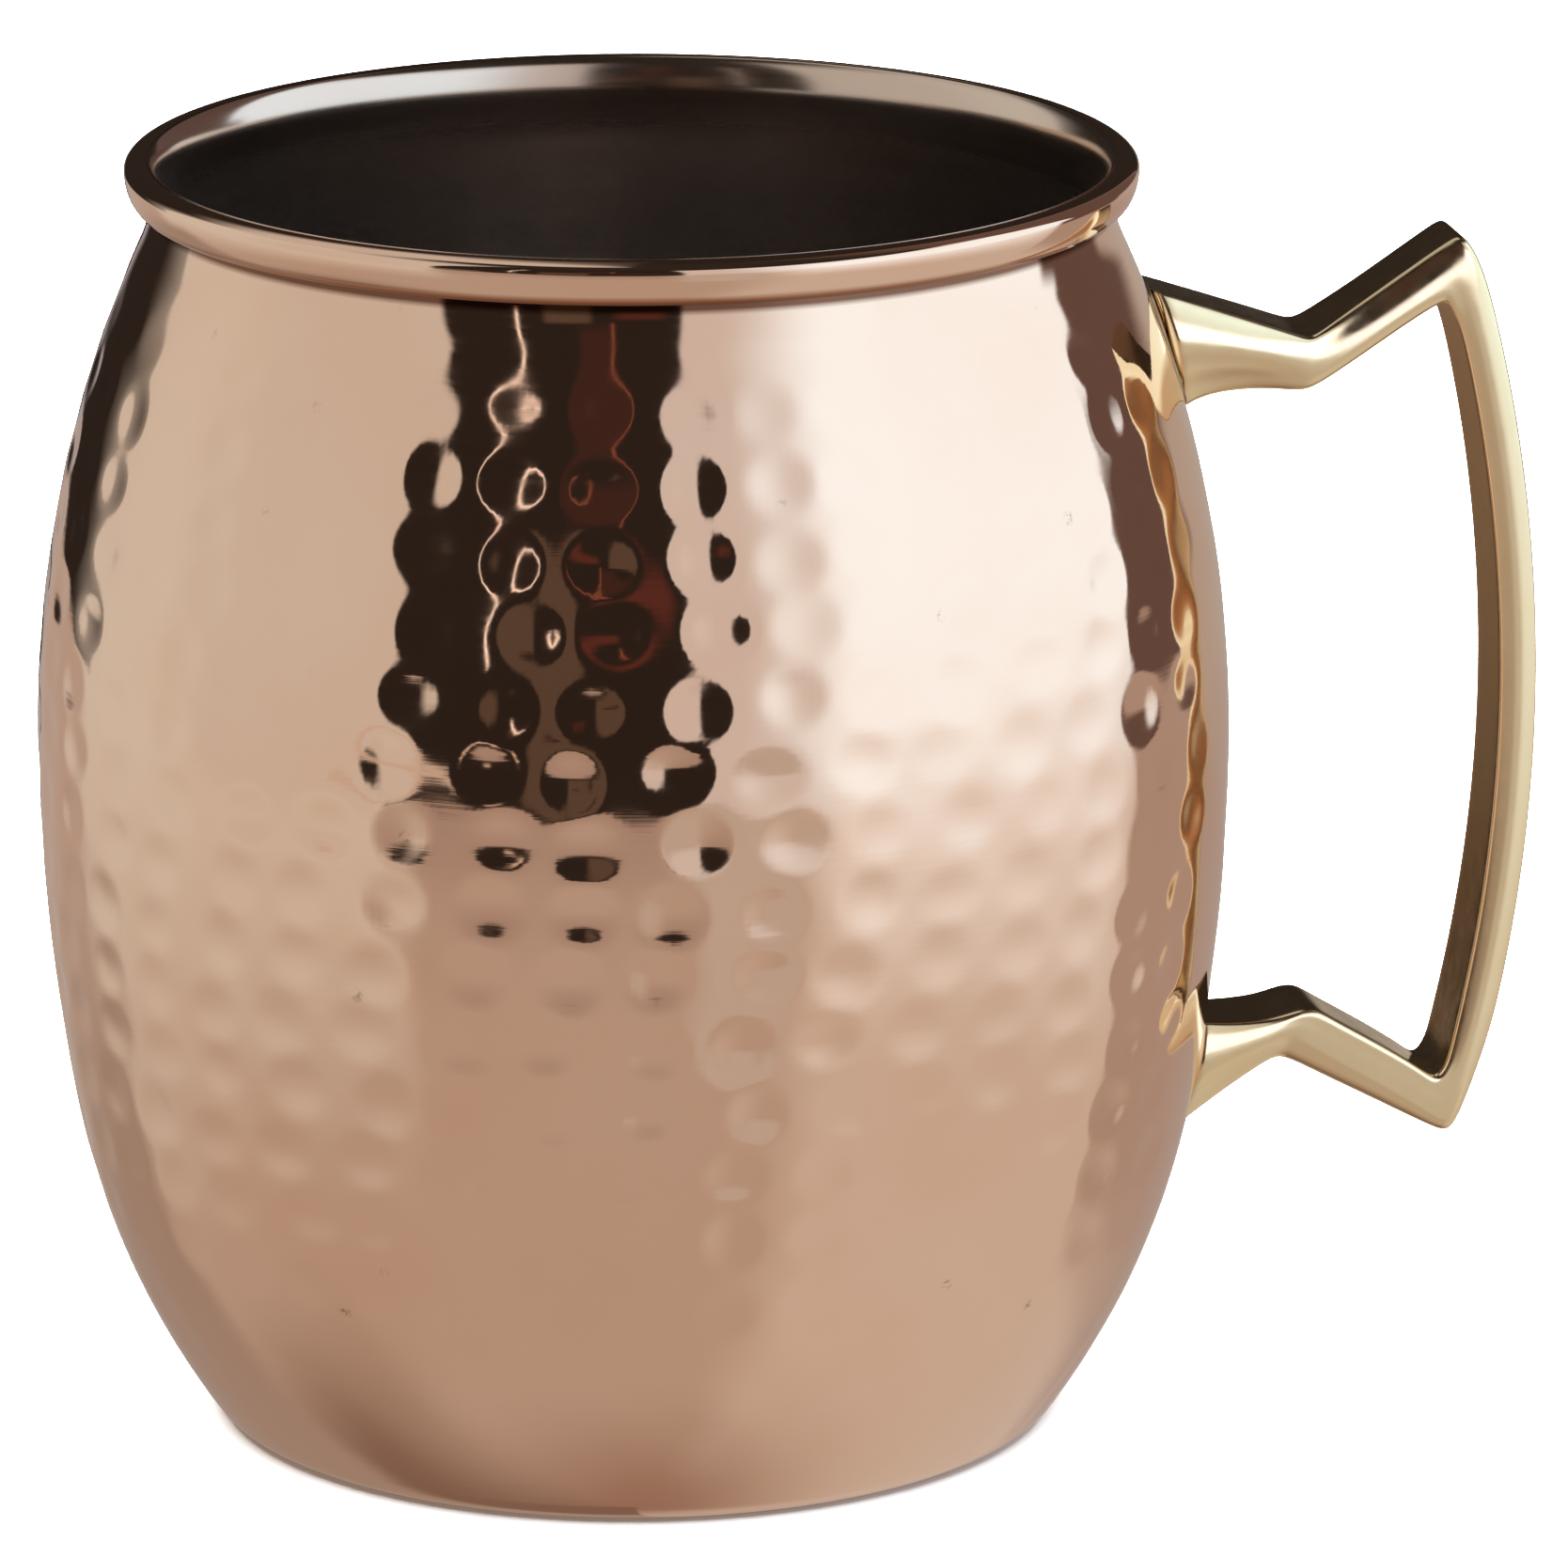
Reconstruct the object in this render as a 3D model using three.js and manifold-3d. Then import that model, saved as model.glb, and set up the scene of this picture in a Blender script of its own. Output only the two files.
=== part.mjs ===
// A barrel-shaped hammered copper mug with a plated inside and a cast brass strap handle.
// Units are millimetres, +Z is up, the origin is the centre of the base and the handle points to +X.

import * as THREE from 'three';
import { mergeVertices } from 'three/addons/utils/BufferGeometryUtils.js';
import Module from 'manifold-3d';

const wasm = await Module();
wasm.setup();

const DEGREE = Math.PI / 180;

// Cup: the outside of its wall is four arcs, from the neck down to the flat base.
const BELLY_RADIUS = 46.15;
const UPPER_ARC_RADIUS = 94;
const LOWER_ARC_RADIUS = 158;
const HEEL_ARC_RADIUS = 60;
const CORNER_RADIUS = 3;
const NECK_ANGLE = 24.5 * DEGREE;
const HEEL_TOP_ANGLE = 10.5 * DEGREE;
const HEEL_BOTTOM_ANGLE = 35.5 * DEGREE;
const SHEET_THICKNESS = 0.7;
const AROUND_STEPS = 40;
const CORNER_STEPS = 2;
const HEEL_ARC_STEPS = 3;
const LOWER_ARC_STEPS = 2;
const UPPER_ARC_STEPS = 4;

// Rolled rim: the wall flares towards its crest and is curled outwards into a bead, open at its lip.
const RIM_TOP_HEIGHT = 99.45;
const BEAD_CENTRE_RADIUS = 37.5;
const BEAD_HALF_WIDTH = 1.4;
const BEAD_HALF_HEIGHT = 1.6;
const BEAD_LIP_ANGLE = -120 * DEGREE;
const BEAD_STEP = 30 * DEGREE;
const FLARE_HEIGHT = 4;
const NECK_PULL = 0.9;

// Plated inside
const LINING_THICKNESS = 0.2;
const LINING_TOP_ANGLE = 120 * DEGREE;
const SKIN_GAP = 0.02;

// Handle: one flat strap whose side outline lies in the XZ plane.
const STRAP_WIDTH = 8;
const STRAP_EDGE_ROUND = 0.55;
const GRIP_OUTER_X = 70.94;
const GRIP_MIDDLE_HEIGHT = 54.7;
const GRIP_ARC_RADIUS = 122;
const GRIP_THICKNESS = 2.8;
const GRIP_OUTER_SPAN = { bottom: 27.4, top: 88 };
const GRIP_INNER_SPAN = { bottom: 24.6, top: 85.2 };
const GRIP_STEPS = 12;
const ROUND_STEPS = 3;
const FOOT_ROOT_X = 38;

// Braze: a thin pad of filler between each foot and the cup, a little wider than the foot.
const BRAZE_THICKNESS = 0.8;
const BRAZE_MARGIN = 0.7;
const BRAZE_CORNER_RADIUS = 1.2;
const BRAZE_COLUMN_START = 36;
const UPPER_FOOT = { bottom: 78.9, top: 87.4 };
const LOWER_FOOT = { bottom: 20.9, top: 28.9 };

const copper = new THREE.MeshStandardMaterial({ color: 0xcf9b78, metalness: 1, roughness: 0.12 });
const nickel = new THREE.MeshStandardMaterial({ color: 0xb9b2aa, metalness: 1, roughness: 0.12 });
const brass = new THREE.MeshStandardMaterial({ color: 0xcdb27d, metalness: 1, roughness: 0.22 });
const filler = new THREE.MeshStandardMaterial({ color: 0xc9a266, metalness: 1, roughness: 0.35 });

function onArc(centre, radius, angle) {
  return new THREE.Vector2(centre.x + radius * Math.cos(angle), centre.y + radius * Math.sin(angle));
}

function arcPoints(centre, radius, fromAngle, toAngle, steps) {
  const points = [];
  for (let step = 0; step <= steps; step += 1) {
    points.push(onArc(centre, radius, fromAngle + (toAngle - fromAngle) * (step / steps)));
  }
  return points;
}

// The wall's arcs share their tangents where they meet, so each centre follows from the one before.
const cornerCentre = new THREE.Vector2(0, CORNER_RADIUS);
const heelCentre = onArc(cornerCentre, HEEL_ARC_RADIUS - CORNER_RADIUS, Math.PI - HEEL_BOTTOM_ANGLE);
const lowerCentre = onArc(heelCentre, LOWER_ARC_RADIUS - HEEL_ARC_RADIUS, Math.PI - HEEL_TOP_ANGLE);
const shift = BELLY_RADIUS - LOWER_ARC_RADIUS - lowerCentre.x;
for (const centre of [cornerCentre, heelCentre, lowerCentre]) {
  centre.x += shift;
}
const upperCentre = new THREE.Vector2(BELLY_RADIUS - UPPER_ARC_RADIUS, lowerCentre.y);
const beadCentre = new THREE.Vector2(BEAD_CENTRE_RADIUS, RIM_TOP_HEIGHT - BEAD_HALF_HEIGHT);
const flareBottom = RIM_TOP_HEIGHT - FLARE_HEIGHT;

// The wall's outline at a depth below its outside, from the centre of the base up to the neck.
function wallPoints(depth) {
  return [
    new THREE.Vector2(0, depth),
    ...arcPoints(cornerCentre, CORNER_RADIUS - depth, -90 * DEGREE, -HEEL_BOTTOM_ANGLE, CORNER_STEPS),
    ...arcPoints(
      heelCentre,
      HEEL_ARC_RADIUS - depth,
      -HEEL_BOTTOM_ANGLE,
      -HEEL_TOP_ANGLE,
      HEEL_ARC_STEPS,
    ).slice(1),
    ...arcPoints(lowerCentre, LOWER_ARC_RADIUS - depth, -HEEL_TOP_ANGLE, 0, LOWER_ARC_STEPS).slice(1),
    ...arcPoints(upperCentre, UPPER_ARC_RADIUS - depth, 0, NECK_ANGLE, UPPER_ARC_STEPS).slice(1),
  ];
}

// The short stretch from the neck up to the bottom of the flare, at the same depth.
function neckPoints(depth) {
  const start = onArc(upperCentre, UPPER_ARC_RADIUS - depth, NECK_ANGLE);
  const rising = new THREE.Vector2(-Math.sin(NECK_ANGLE), Math.cos(NECK_ANGLE));
  const end = beadPoint(depth, Math.PI);
  const firstPull = start.clone().addScaledVector(rising, NECK_PULL);
  const secondPull = new THREE.Vector2(end.x, end.y - NECK_PULL);
  const bend = new THREE.CubicBezierCurve(start, firstPull, secondPull, end);
  return bend.getPoints(2).slice(1, -1);
}

// A point of the rim at a depth below the wall's outside. The sheet turns over in the curl, so the
// inside of the cup becomes the outside of the bead. The side that faces the cup's axis is the flare.
function beadPoint(depth, angle) {
  const inset = SHEET_THICKNESS - depth;
  const isFlare = angle > Math.PI / 2;
  const halfHeight = (isFlare ? FLARE_HEIGHT : BEAD_HALF_HEIGHT) - inset;
  const centreHeight = isFlare ? flareBottom : beadCentre.y;
  return new THREE.Vector2(
    beadCentre.x + (BEAD_HALF_WIDTH - inset) * Math.cos(angle),
    centreHeight + halfHeight * Math.sin(angle),
  );
}

function beadPoints(depth, fromAngle, toAngle) {
  const steps = Math.round(Math.abs(toAngle - fromAngle) / BEAD_STEP);
  const points = [];
  for (let step = 0; step <= steps; step += 1) {
    points.push(beadPoint(depth, fromAngle + (toAngle - fromAngle) * (step / steps)));
  }
  return points;
}

function lathe(profile) {
  return new THREE.LatheGeometry(profile, AROUND_STEPS).rotateX(Math.PI / 2);
}

function solidFrom(geometry) {
  const plain = geometry.clone();
  plain.deleteAttribute('normal');
  plain.deleteAttribute('uv');
  const merged = mergeVertices(plain, 1e-4);
  const vertProperties = new Float32Array(merged.attributes.position.array);
  const triVerts = new Uint32Array(merged.index.array);
  return new wasm.Manifold(new wasm.Mesh({ numProp: 3, vertProperties, triVerts }));
}

function geometryFrom(solid) {
  const mesh = solid.getMesh();
  const geometry = new THREE.BufferGeometry();
  geometry.setAttribute('position', new THREE.BufferAttribute(new Float32Array(mesh.vertProperties), 3));
  geometry.setIndex(new THREE.BufferAttribute(new Uint32Array(mesh.triVerts), 1));
  geometry.computeVertexNormals();
  return geometry;
}

// The copper sheet: outside wall, inside of the curl, its lip, outside of the curl, inside wall.
function cupGeometry() {
  const profile = [
    ...wallPoints(0),
    ...neckPoints(0),
    ...beadPoints(0, Math.PI, BEAD_LIP_ANGLE),
    ...beadPoints(SHEET_THICKNESS, BEAD_LIP_ANGLE, Math.PI),
    ...neckPoints(SHEET_THICKNESS).reverse(),
    ...wallPoints(SHEET_THICKNESS).reverse(),
  ];
  return lathe(profile);
}

// The plating, from just inside the crest of the bead down to the bottom.
function liningGeometry() {
  const outerDepth = SHEET_THICKNESS + SKIN_GAP;
  const innerDepth = outerDepth + LINING_THICKNESS;
  const profile = [
    ...wallPoints(outerDepth),
    ...neckPoints(outerDepth),
    ...beadPoints(outerDepth, Math.PI, LINING_TOP_ANGLE),
    ...beadPoints(innerDepth, LINING_TOP_ANGLE, Math.PI),
    ...neckPoints(innerDepth).reverse(),
    ...wallPoints(innerDepth).reverse(),
  ];
  return lathe(profile);
}

// A solid of revolution that stands off the cup's outside by a distance.
function cupEnvelope(standOff) {
  const outline = wallPoints(-standOff);
  const top = outline[outline.length - 1];
  outline.push(new THREE.Vector2(0, top.y));
  return solidFrom(lathe(outline));
}

// Replaces a corner by an arc that is tangent to both of its sides.
function roundedCorner(before, corner, after, radius, steps) {
  const back = before.clone().sub(corner).normalize();
  const ahead = after.clone().sub(corner).normalize();
  const halfAngle = Math.acos(THREE.MathUtils.clamp(back.dot(ahead), -1, 1)) / 2;
  const middle = back.clone().add(ahead).normalize();
  const centre = corner.clone().addScaledVector(middle, radius / Math.sin(halfAngle));
  const start = corner.clone().addScaledVector(back, radius / Math.tan(halfAngle));
  const end = corner.clone().addScaledVector(ahead, radius / Math.tan(halfAngle));
  const startAngle = start.clone().sub(centre).angle();
  let turn = end.clone().sub(centre).angle() - startAngle;
  turn -= 2 * Math.PI * Math.round(turn / (2 * Math.PI));
  return arcPoints(centre, radius, startAngle, startAngle + turn, steps);
}

function gripPoint(inset, height) {
  const radius = GRIP_ARC_RADIUS - inset;
  const rise = height - GRIP_MIDDLE_HEIGHT;
  const centreX = GRIP_OUTER_X - GRIP_ARC_RADIUS;
  return new THREE.Vector2(centreX + Math.sqrt(radius * radius - rise * rise), height);
}

// Points up one side of the grip, from the bottom to the top of a span.
function gripPoints(inset, span) {
  const points = [];
  for (let step = 0; step <= GRIP_STEPS; step += 1) {
    points.push(gripPoint(inset, span.bottom + (span.top - span.bottom) * (step / GRIP_STEPS)));
  }
  return points;
}

// The strap's side outline: upper foot, dip, raised shoulder, bowed grip, lower arm and lower foot.
function handleOutline() {
  const upperArm = [
    { at: [FOOT_ROOT_X, 76.4], round: 0 },
    { at: [45.8, 80.5], round: 3.0 },
    { at: [52.3, 79.9], round: 2.0 },
    { at: [63.6, 87.2], round: 1.3 },
  ];
  const lowerArm = [
    { at: [63.8, 22.6], round: 0.9 },
    { at: [53.6, 29.6], round: 1.0 },
    { at: [50.0, 28.5], round: 3.0 },
    { at: [FOOT_ROOT_X, 28.6], round: 0 },
    { at: [FOOT_ROOT_X, 17.9], round: 0 },
    { at: [51.0, 26.5], round: 2.0 },
    { at: [64.7, 19.1], round: 0.7 },
  ];
  const topEdge = [
    { at: [65.4, 91.2], round: 0.9 },
    { at: [52.9, 83.0], round: 0.7 },
    { at: [FOOT_ROOT_X, 88.3], round: 0 },
  ];
  const asCorner = ({ at, round }) => ({ point: new THREE.Vector2(...at), round });
  const asPlain = (point) => ({ point, round: 0 });
  const corners = [
    ...upperArm.map(asCorner),
    ...gripPoints(GRIP_THICKNESS, GRIP_INNER_SPAN).reverse().map(asPlain),
    ...lowerArm.map(asCorner),
    ...gripPoints(0, GRIP_OUTER_SPAN).map(asPlain),
    ...topEdge.map(asCorner),
  ];
  return corners.flatMap(({ point, round }, index) => {
    if (round === 0) {
      return [point];
    }
    const before = corners[index - 1].point;
    const after = corners[index + 1].point;
    return roundedCorner(before, point, after, round, ROUND_STEPS);
  });
}

function handleGeometry() {
  const strap = new THREE.ExtrudeGeometry(new THREE.Shape(handleOutline()), {
    depth: STRAP_WIDTH - 2 * STRAP_EDGE_ROUND,
    bevelSize: STRAP_EDGE_ROUND,
    bevelOffset: -STRAP_EDGE_ROUND,
    bevelThickness: STRAP_EDGE_ROUND,
    bevelSegments: 2,
    curveSegments: 1,
  });
  strap.translate(0, 0, -STRAP_WIDTH / 2 + STRAP_EDGE_ROUND);
  strap.rotateX(Math.PI / 2);
  const cup = cupEnvelope(BRAZE_THICKNESS + 2 * SKIN_GAP);
  return geometryFrom(solidFrom(strap).subtract(cup));
}

// A pad with rounded corners, cut out of the thin shell that lies on the cup's outside.
function brazeGeometry(foot) {
  const halfWidth = STRAP_WIDTH / 2 + BRAZE_MARGIN;
  const bottom = foot.bottom - BRAZE_MARGIN;
  const top = foot.top + BRAZE_MARGIN;
  const corners = [
    new THREE.Vector2(-halfWidth, bottom),
    new THREE.Vector2(halfWidth, bottom),
    new THREE.Vector2(halfWidth, top),
    new THREE.Vector2(-halfWidth, top),
  ];
  const outline = corners.flatMap((corner, index) => {
    const before = corners[(index + 3) % 4];
    const after = corners[(index + 1) % 4];
    return roundedCorner(before, corner, after, BRAZE_CORNER_RADIUS, ROUND_STEPS);
  });
  const column = new THREE.ExtrudeGeometry(new THREE.Shape(outline), {
    depth: BELLY_RADIUS,
    bevelEnabled: false,
    curveSegments: 1,
  });
  column.rotateX(Math.PI / 2);
  column.rotateZ(Math.PI / 2);
  column.translate(BRAZE_COLUMN_START, 0, 0);
  const shell = cupEnvelope(BRAZE_THICKNESS).subtract(cupEnvelope(SKIN_GAP));
  return geometryFrom(solidFrom(column).intersect(shell));
}

function addPiece(group, name, geometry, material) {
  const mesh = new THREE.Mesh(geometry, material);
  mesh.name = name;
  group.add(mesh);
}

const mug = new THREE.Group();
mug.name = 'copper_mug';
addPiece(mug, 'mug_body', cupGeometry(), copper);
addPiece(mug, 'nickel_lining', liningGeometry(), nickel);
addPiece(mug, 'handle', handleGeometry(), brass);
addPiece(mug, 'upper_braze', brazeGeometry(UPPER_FOOT), filler);
addPiece(mug, 'lower_braze', brazeGeometry(LOWER_FOOT), filler);

export default mug;
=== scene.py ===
"""The looks of a hammered copper mug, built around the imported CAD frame.

Sizes are in millimetres and are turned into metres where a mesh is made. +Z is up, the cup's axis is
the Z axis and the handle points to +X.
"""

import math
import random

import bpy
import numpy as np
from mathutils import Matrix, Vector


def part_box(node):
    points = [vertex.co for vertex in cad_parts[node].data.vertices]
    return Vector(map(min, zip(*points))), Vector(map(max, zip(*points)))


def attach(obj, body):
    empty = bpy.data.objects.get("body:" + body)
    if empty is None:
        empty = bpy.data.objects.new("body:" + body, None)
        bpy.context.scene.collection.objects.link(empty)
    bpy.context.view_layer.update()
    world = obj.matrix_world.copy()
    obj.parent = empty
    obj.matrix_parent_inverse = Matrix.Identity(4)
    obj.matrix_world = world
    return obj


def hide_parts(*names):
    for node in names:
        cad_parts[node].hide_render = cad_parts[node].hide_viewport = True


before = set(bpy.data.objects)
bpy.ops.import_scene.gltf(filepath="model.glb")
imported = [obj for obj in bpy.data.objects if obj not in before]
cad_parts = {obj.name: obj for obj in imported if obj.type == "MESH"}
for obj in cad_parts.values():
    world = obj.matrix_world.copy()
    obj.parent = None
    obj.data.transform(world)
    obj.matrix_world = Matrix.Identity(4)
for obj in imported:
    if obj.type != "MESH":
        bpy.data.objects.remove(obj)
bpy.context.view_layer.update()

MM = 0.001
_, body_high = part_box("mug_body")
handle_low, handle_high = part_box("handle")

# Cup: the wall's outline is four arcs that share their tangents, as in the CAD model.
BELLY_RADIUS = body_high.x / MM
RIM_TOP = body_high.z / MM
UPPER_ARC = 94.0
LOWER_ARC = 158.0
HEEL_ARC = 60.0
CORNER = 3.0
NECK_ANGLE = math.radians(24.5)
HEEL_TOP_ANGLE = math.radians(10.5)
HEEL_BOTTOM_ANGLE = math.radians(35.5)
SHEET = 0.7

# Rolled rim
BEAD_RADIUS = 37.5
BEAD_HALF_WIDTH = 1.4
BEAD_TOP_HEIGHT = 0.85
BEAD_LOWER_HEIGHT = 2.6
BEAD_LIP_ANGLE = math.radians(-120)
PLATING_TOP_ANGLE = math.radians(105)
FLARE_HEIGHT = 3.0
NECK_PULL = 0.9

# Plating
PLATING_GAP = 0.02
PLATING = 0.08

# Hammer marks: rows of soft round dents, each a little out of line and of its own size
DENT_COLUMNS = 40
DENT_ROW_PITCH = 5.25
DENT_LOWEST = 20.0
DENT_HIGHEST = 88.4
DENT_DEPTH = 0.225
DENT_HALF_WIDTH = 3.0
DENT_HALF_HEIGHT = 2.75
DENT_SHARPNESS = 1.7
DENT_SEED = 7
DENT_REACH = 1.4
ROW_SHIFT = 0.25
COLUMN_JITTER = 0.1
HEIGHT_JITTER = 0.4
WIDTH_RANGE = (0.88, 1.1)
HEIGHT_RANGE = (0.9, 1.1)
DEPTH_RANGE = (0.85, 1.15)
EDGE_ROW_SHARE = 0.5

# The hammering fades in above the base and out below the rim, over these heights.
HAMMERED_FROM = 4.0
FADE_IN = 6.0
FADE_OUT = 4.0

# The hammering is uneven: degrees round the cup from the handle, and the share of the depth there.
SHARE_ANGLES = [27, 35, 46, 56, 74, 90, 102, 120]
SHARE_VALUES = [0.03, 0.8, 0.8, 0.42, 0.42, 1.0, 1.0, 0.65]

# Shallow waves left by the hammering: how many go round the wall, and radians per millimetre up it
WAVE_HEIGHT = 0.006
WAVE_COUNT = 14
WAVE_SEED = 11
WAVE_TURNS = (9, 34)
WAVE_RATES = (0.25, 0.7)
WAVE_SHARES = (0.5, 1.0)

# Meshes: millimetres along the outline, columns round the axis and steps round each bend
CUP_FINE = 0.58
INSIDE_COARSE = 6.0
CUP_COLUMNS = 480
NECK_STEPS = 5
HIDDEN_NECK_STEPS = 4
CURL_STEPS = 15
BEAD_STEPS = 30
PLATING_FINE = 0.8
PLATING_COLUMNS = 360
PLATING_EDGE_STEPS = 10
PLATING_SHARE = 0.35

# Handle
STRAP_HALF_WIDTH = (handle_high.y - handle_low.y) / 2 / MM
GRIP_OUTER_X = 70.94
GRIP_MIDDLE = 54.7
GRIP_ARC = 122.0
GRIP_OUTER_INSET = -0.36
GRIP_INNER_INSET = 2.65
GRIP_OUTER_ENDS = (87.7, 27.0)
GRIP_INNER_ENDS = (83.4, 26.2)
GRIP_STEPS = 11

# Edges of the strap: how far they are rounded over, and how far its side faces bulge
CRISP = 0.35
SOFT = 0.8
FLAT = 0.1
FULL = 0.36
MOST_ROUND = 0.4
EDGE_BACK = 0.35

# Braze
BRAZE_INSET = 0.1
BRAZE_CORNER = 1.0
BRAZE_CORNER_STEPS = 6
BRAZE_BEAD = 0.28
BRAZE_SPACING = 0.6
BRAZE_SIDES = 10
UPPER_BRAZE = (78.6, 87.6)
LOWER_BRAZE = (21.2, 28.6)

# Camera
VIEW_AZIMUTH = math.radians(11.0)
VIEW_ELEVATION = math.radians(15.1)
VIEW_DISTANCE = 0.935
AIM_HEIGHT = 0.04985
AIM_RIGHT = 0.01165
LENS = 276.5
SENSOR = 36.0

# Colours, in pairs that a cloudy pattern mixes, and heights in millimetres where a look changes
COPPER = ((0.95, 0.685, 0.52), (0.93, 0.645, 0.475))
COPPER_PIT = (0.3, 0.16, 0.1)
# Painted shade: a dark copper colour in a band in the crease under the rolled rim, where shade falls.
# The band fades in over the first pair of heights and out over the second.
UNDER_RIM_SHADE = (0.22, 0.1, 0.06)
UNDER_RIM_SHADE_STARTS = (95.05, 95.5)
UNDER_RIM_SHADE_ENDS = (96.85, 96.2)
BRIGHT_NICKEL = ((0.76, 0.61, 0.5), (0.71, 0.56, 0.46))
DULL_NICKEL = ((0.6, 0.545, 0.505), (0.53, 0.475, 0.435))
BRIGHT_FROM = (88.0, 97.0)
POLISHED_FROM = (92.0, 97.0)
BRASS = ((0.97, 0.8, 0.515), (0.93, 0.75, 0.455))
FILLER = ((0.5, 0.36, 0.2), (0.3, 0.19, 0.11))
BUMP_DISTANCE = 0.0001

# Floor, in metres across and in millimetres of height, and lights, in metres and watts
FLOOR_SIZE = 1.4
FLOOR_HEIGHT = -0.02
FLOOR_COLOUR = (0.95, 0.95, 0.95)
OVERHEAD_SIZE = 2.2
OVERHEAD_HEIGHT = 1.3
OVERHEAD_ENERGY = 230.0
SIDE_SIZE = (0.34, 0.22)
SIDE_PLACE = (0.194, -0.579, 0.139)
SIDE_AIM = (0.06, 0.0, 0.055)
SIDE_ENERGY = 0.33
SIDE_COLOUR = (0.71, 0.72, 0.96)


def on_arc(centre, radius, angle):
    return (centre[0] + radius * math.cos(angle), centre[1] + radius * math.sin(angle))


def arc_points(centre, radius, start, end, steps):
    return [on_arc(centre, radius, start + (end - start) * step / steps) for step in range(steps + 1)]


def wall_centres():
    corner = (0.0, CORNER)
    heel = on_arc(corner, HEEL_ARC - CORNER, math.pi - HEEL_BOTTOM_ANGLE)
    lower = on_arc(heel, LOWER_ARC - HEEL_ARC, math.pi - HEEL_TOP_ANGLE)
    shift = BELLY_RADIUS - LOWER_ARC - lower[0]
    upper = (BELLY_RADIUS - UPPER_ARC, lower[1])
    moved = [(centre[0] + shift, centre[1]) for centre in (corner, heel, lower)]
    return moved + [upper]


CORNER_CENTRE, HEEL_CENTRE, LOWER_CENTRE, UPPER_CENTRE = wall_centres()
UPPER_END = UPPER_CENTRE[1] + UPPER_ARC * math.sin(NECK_ANGLE)
BEAD_CENTRE = (BEAD_RADIUS, RIM_TOP - BEAD_TOP_HEIGHT)
FLARE_BOTTOM = RIM_TOP - FLARE_HEIGHT


def wall_points(depth, spacing):
    """The wall's outline from the centre of the base to the neck, at a depth below its outside."""

    def steps(radius, sweep):
        return max(2, round(radius * abs(sweep) / spacing))

    floor_radius = CORNER_CENTRE[0]
    floor_steps = max(2, round(floor_radius / (4 * spacing)))
    floor = [(floor_radius * step / floor_steps, depth) for step in range(floor_steps)]
    corner = CORNER - depth
    arcs = [
        (CORNER_CENTRE, corner, -math.pi / 2, -HEEL_BOTTOM_ANGLE),
        (HEEL_CENTRE, HEEL_ARC - depth, -HEEL_BOTTOM_ANGLE, -HEEL_TOP_ANGLE),
        (LOWER_CENTRE, LOWER_ARC - depth, -HEEL_TOP_ANGLE, 0.0),
        (UPPER_CENTRE, UPPER_ARC - depth, 0.0, NECK_ANGLE),
    ]
    points = floor
    for index, (centre, radius, start, end) in enumerate(arcs):
        stretch = arc_points(centre, radius, start, end, steps(radius, end - start))
        points = points + (stretch if index == 0 else stretch[1:])
    return points


def neck_points(depth, steps):
    """The bend from the neck up to the bottom of the flare, without its two ends."""
    start = on_arc(UPPER_CENTRE, UPPER_ARC - depth, NECK_ANGLE)
    end = bead_point(depth, math.pi)
    pulls = [
        (start[0] - NECK_PULL * math.sin(NECK_ANGLE), start[1] + NECK_PULL * math.cos(NECK_ANGLE)),
        (end[0], end[1] - NECK_PULL),
    ]
    control = np.array([start, pulls[0], pulls[1], end])
    points = []
    for step in range(1, steps):
        t = step / steps
        weights = np.array([(1 - t) ** 3, 3 * t * (1 - t) ** 2, 3 * t * t * (1 - t), t ** 3])
        points.append(tuple(weights @ control))
    return points


def bead_point(depth, angle):
    """A point of the rim, which turns over quickly at the top. Its outer side and the flare towards the
    cup's axis are the taller parts."""
    inset = SHEET - depth
    height, middle = BEAD_TOP_HEIGHT, BEAD_CENTRE[1]
    if angle > math.pi / 2:
        height, middle = FLARE_HEIGHT, FLARE_BOTTOM
    elif angle < 0:
        height = BEAD_LOWER_HEIGHT
    radius = BEAD_CENTRE[0] + (BEAD_HALF_WIDTH - inset) * math.cos(angle)
    return (radius, middle + (height - inset) * math.sin(angle))


def bead_points(depth, start, end, steps):
    return [bead_point(depth, start + (end - start) * step / steps) for step in range(steps + 1)]


def outline_normals(points):
    """A unit normal at each point, on the outer side of an outline that runs upwards."""
    line = np.array(points)
    along = np.gradient(line, axis=0)
    normals = np.stack([along[:, 1], -along[:, 0]], axis=1)
    return normals / np.maximum(np.linalg.norm(normals, axis=1, keepdims=True), 1e-9)


def share_at(angle):
    """The share of a mark's depth at an angle round the cup."""
    from_handle = math.degrees(min(angle, 2 * math.pi - angle))
    return float(np.interp(from_handle, SHARE_ANGLES, SHARE_VALUES))


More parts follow.
